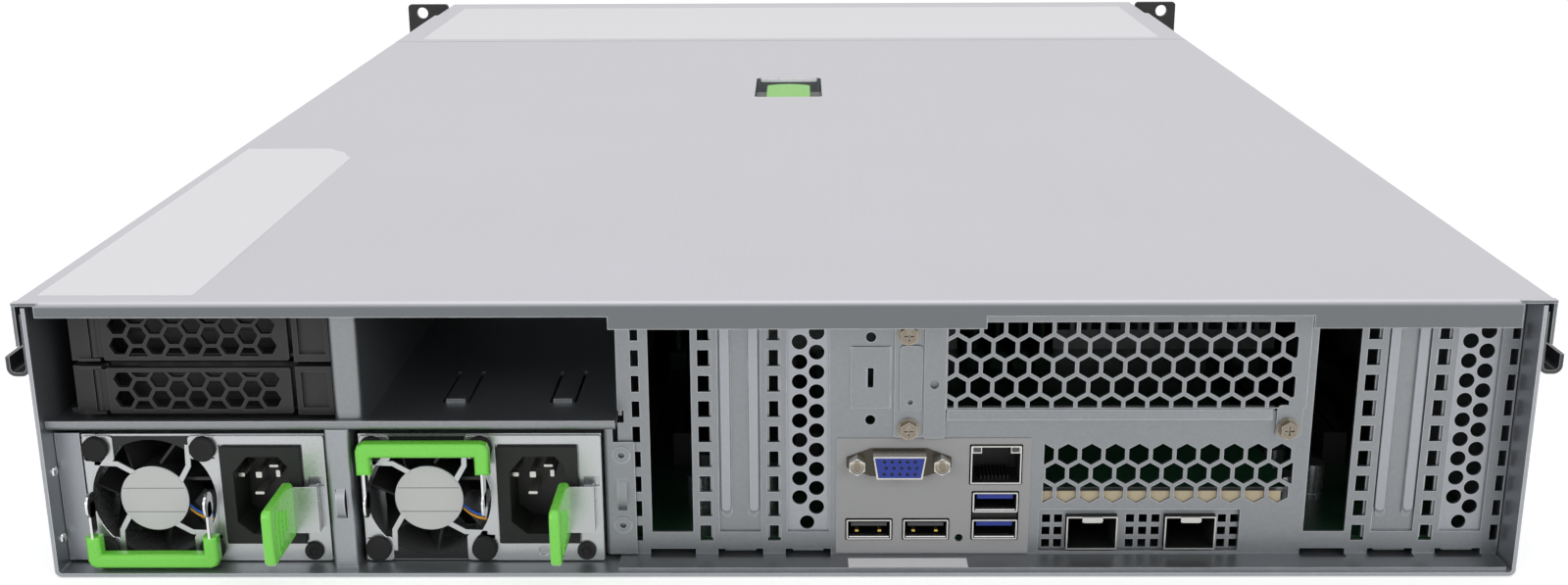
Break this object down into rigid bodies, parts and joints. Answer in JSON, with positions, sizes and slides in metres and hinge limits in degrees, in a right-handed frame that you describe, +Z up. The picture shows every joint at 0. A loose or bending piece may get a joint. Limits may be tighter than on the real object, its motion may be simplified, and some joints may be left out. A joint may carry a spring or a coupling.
{
  "type": "rack server",
  "caption": "Two-unit rack server with a vented rear panel, hot-plug supplies with bail handles, rear drive bays, card slots and a latched lift-off lid.",
  "frame": {"origin": "middle of the footprint on the plane of the pan's underside", "axes": "+Z up; the rear panel faces -Y and the rack ears are at the +Y end; +X is on the right for someone who looks at the rear panel"},
  "size_m": [0.4826, 0.7238, 0.0869],
  "materials": {
    "galvanised": "zinc-coated, satin",
    "rail_steel": "satin",
    "screw_nickel": "warm nickel",
    "panel_grey": "matte grey",
    "connector_shell": "bright tin",
    "board_green": "solder mask",
    "board_plastic": "moulded, matte",
    "heatsink_alloy": "extruded",
    "fan_plastic": "moulded, matte",
    "black_plastic": "moulded, fine texture",
    "psu_steel": "bright zinc",
    "inlet_plastic": "moulded, matte",
    "green_plastic": "satin green"
  },
  "bodies": {
    "chassis": {"chassis_pan": "galvanised", "rear_wall": "galvanised", "upper_vent_cover": "galvanised", "ribbed_slot_covers": "galvanised", "perforated_slot_covers": "galvanised", "flange_screws": "screw_nickel", "io_panel": "panel_grey", "vga_port": "connector_shell", "lan_port": "connector_shell", "usb_ports": "connector_shell", "network_card": "connector_shell", "sfp_cages": "connector_shell", "bay_shelf": "galvanised", "bay_walls": "galvanised", "psu_divider": "galvanised", "psu_bracket": "galvanised", "slide_rails": "rail_steel", "rear_drive_cage": "galvanised", "front_cage": "galvanised", "drive_blanks": "black_plastic", "drive_backplane": "board_green", "ear_left": "black_plastic", "ear_right": "black_plastic", "front_cover": "galvanised", "motherboard": "board_green", "cpu_heatsinks": "heatsink_alloy", "memory_modules": "board_green", "card_sockets": "board_plastic", "board_capacitors": "board_plastic", "air_shroud": "board_plastic", "fan_wall": "fan_plastic", "power_board": "board_green"},
    "lid": {"lid": "galvanised"},
    "lid_button": {"lid_button": "green_plastic"},
    "system_fan_1": {"system_fan_1": "fan_plastic"},
    "system_fan_2": {"system_fan_2": "fan_plastic"},
    "system_fan_3": {"system_fan_3": "fan_plastic"},
    "system_fan_4": {"system_fan_4": "fan_plastic"},
    "psu_left": {"psu_left_case": "psu_steel", "psu_left_face": "psu_steel", "psu_left_inlet": "inlet_plastic"},
    "psu_left_fan": {"psu_left_fan": "fan_plastic"},
    "psu_left_bail": {"psu_left_bail": "green_plastic"},
    "psu_left_latch": {"psu_left_latch": "green_plastic"},
    "psu_right": {"psu_right_case": "psu_steel", "psu_right_face": "psu_steel", "psu_right_inlet": "inlet_plastic"},
    "psu_right_fan": {"psu_right_fan": "fan_plastic"},
    "psu_right_bail": {"psu_right_bail": "green_plastic"},
    "psu_right_latch": {"psu_right_latch": "green_plastic"},
    "rear_carrier_lower": {"rear_carrier_lower": "black_plastic"},
    "rear_carrier_lower_door": {"rear_carrier_lower_door": "black_plastic"},
    "rear_carrier_upper": {"rear_carrier_upper": "black_plastic"},
    "rear_carrier_upper_door": {"rear_carrier_upper_door": "black_plastic"},
    "front_carrier_1": {"front_carrier_1": "black_plastic"},
    "front_carrier_1_lever": {"front_carrier_1_lever": "black_plastic"},
    "front_carrier_2": {"front_carrier_2": "black_plastic"},
    "front_carrier_2_lever": {"front_carrier_2_lever": "black_plastic"},
    "power_button": {"power_button": "black_plastic"},
    "identify_button": {"identify_button": "black_plastic"}
  },
  "joints": [
    {"name": "lid_lift_off", "type": "slide", "parent": "chassis", "child": "lid", "axis": [0, 0, 1], "range_m": [0, 0.15]},
    {"name": "lid_latch_press", "type": "slide", "parent": "lid", "child": "lid_button", "axis": [0, 0, -1], "range_m": [0, 0.0025], "stiffness_N_per_m": 600, "springref_m": -0.001},
    {"name": "system_fan_1_spin", "type": "hinge", "parent": "chassis", "child": "system_fan_1", "pos_m": [-0.16103, 0.12557, 0.0411], "axis": [0, 1, 0], "continuous": true},
    {"name": "system_fan_2_spin", "type": "hinge", "parent": "chassis", "child": "system_fan_2", "pos_m": [-0.05368, 0.12557, 0.0411], "axis": [0, 1, 0], "continuous": true},
    {"name": "system_fan_3_spin", "type": "hinge", "parent": "chassis", "child": "system_fan_3", "pos_m": [0.05368, 0.12557, 0.0411], "axis": [0, 1, 0], "continuous": true},
    {"name": "system_fan_4_spin", "type": "hinge", "parent": "chassis", "child": "system_fan_4", "pos_m": [0.16103, 0.12557, 0.0411], "axis": [0, 1, 0], "continuous": true},
    {"name": "psu_left_draw", "type": "slide", "parent": "chassis", "child": "psu_left", "axis": [0, -1, 0], "range_m": [0, 0.205]},
    {"name": "psu_left_fan_spin", "type": "hinge", "parent": "psu_left", "child": "psu_left_fan", "pos_m": [-0.1868, -0.32323, 0.0217], "axis": [0, 1, 0], "continuous": true},
    {"name": "psu_left_bail_swing", "type": "hinge", "parent": "psu_left", "child": "psu_left_bail", "pos_m": [-0.1868, -0.34033, 0.0217], "axis": [-1, 0, 0], "range_deg": [0, 175]},
    {"name": "psu_left_latch_press", "type": "slide", "parent": "psu_left", "child": "psu_left_latch", "axis": [-1, 0, 0], "range_m": [0, 0.002], "stiffness_N_per_m": 900, "springref_m": -0.001},
    {"name": "psu_right_draw", "type": "slide", "parent": "chassis", "child": "psu_right", "axis": [0, -1, 0], "range_m": [0, 0.205]},
    {"name": "psu_right_fan_spin", "type": "hinge", "parent": "psu_right", "child": "psu_right_fan", "pos_m": [-0.1051, -0.32323, 0.0217], "axis": [0, 1, 0], "continuous": true},
    {"name": "psu_right_bail_swing", "type": "hinge", "parent": "psu_right", "child": "psu_right_bail", "pos_m": [-0.1051, -0.34033, 0.0217], "axis": [1, 0, 0], "range_deg": [0, 175]},
    {"name": "psu_right_latch_press", "type": "slide", "parent": "psu_right", "child": "psu_right_latch", "axis": [-1, 0, 0], "range_m": [0, 0.002], "stiffness_N_per_m": 900, "springref_m": -0.001},
    {"name": "rear_carrier_lower_draw", "type": "slide", "parent": "chassis", "child": "rear_carrier_lower", "axis": [0, -1, 0], "range_m": [0, 0.13]},
    {"name": "rear_carrier_lower_door_swing", "type": "hinge", "parent": "rear_carrier_lower", "child": "rear_carrier_lower_door", "pos_m": [-0.1997, -0.33353, 0.0552], "axis": [0, 0, -1], "range_deg": [0, 70]},
    {"name": "rear_carrier_upper_draw", "type": "slide", "parent": "chassis", "child": "rear_carrier_upper", "axis": [0, -1, 0], "range_m": [0, 0.13]},
    {"name": "rear_carrier_upper_door_swing", "type": "hinge", "parent": "rear_carrier_upper", "child": "rear_carrier_upper_door", "pos_m": [-0.1997, -0.33353, 0.0715], "axis": [0, 0, -1], "range_deg": [0, 70]},
    {"name": "front_carrier_1_draw", "type": "slide", "parent": "chassis", "child": "front_carrier_1", "axis": [0, 1, 0], "range_m": [0, 0.17]},
    {"name": "front_carrier_1_lever_swing", "type": "hinge", "parent": "front_carrier_1", "child": "front_carrier_1_lever", "pos_m": [-0.208, 0.35087, 0.014], "axis": [0, 0, 1], "range_deg": [0, 80]},
    {"name": "front_carrier_2_draw", "type": "slide", "parent": "chassis", "child": "front_carrier_2", "axis": [0, 1, 0], "range_m": [0, 0.17]},
    {"name": "front_carrier_2_lever_swing", "type": "hinge", "parent": "front_carrier_2", "child": "front_carrier_2_lever", "pos_m": [-0.10105, 0.35087, 0.014], "axis": [0, 0, 1], "range_deg": [0, 80]},
    {"name": "power_button_press", "type": "slide", "parent": "chassis", "child": "power_button", "axis": [0, -1, 0], "range_m": [0, 0.0014], "stiffness_N_per_m": 500, "springref_m": -0.001},
    {"name": "identify_button_press", "type": "slide", "parent": "chassis", "child": "identify_button", "axis": [0, -1, 0], "range_m": [0, 0.0014], "stiffness_N_per_m": 500, "springref_m": -0.001}
  ]
}
